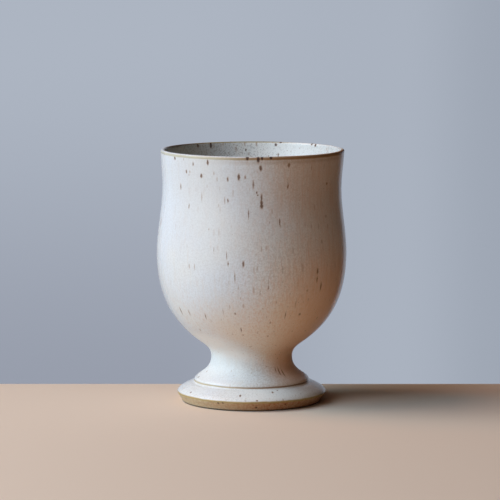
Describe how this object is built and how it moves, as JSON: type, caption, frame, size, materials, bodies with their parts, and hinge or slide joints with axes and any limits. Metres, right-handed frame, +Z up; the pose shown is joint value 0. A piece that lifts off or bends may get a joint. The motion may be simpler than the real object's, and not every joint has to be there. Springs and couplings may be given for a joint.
{
  "type": "ceramic cup",
  "caption": "Footed drinking cup of satin-glazed stoneware: rounded bowl with a soft waist and flared lip, short stem, stepped and hollowed foot.",
  "frame": {"origin": "centre of the ring that the cup stands on, on the surface under it", "axes": "+Z up along the turning axis, towards the lip; X and Y are alike, because the cup is round"},
  "size_m": [0.088, 0.088, 0.1174],
  "materials": {
    "cup": "satin"
  },
  "bodies": {
    "root": {"cup": "cup"}
  },
  "joints": []
}
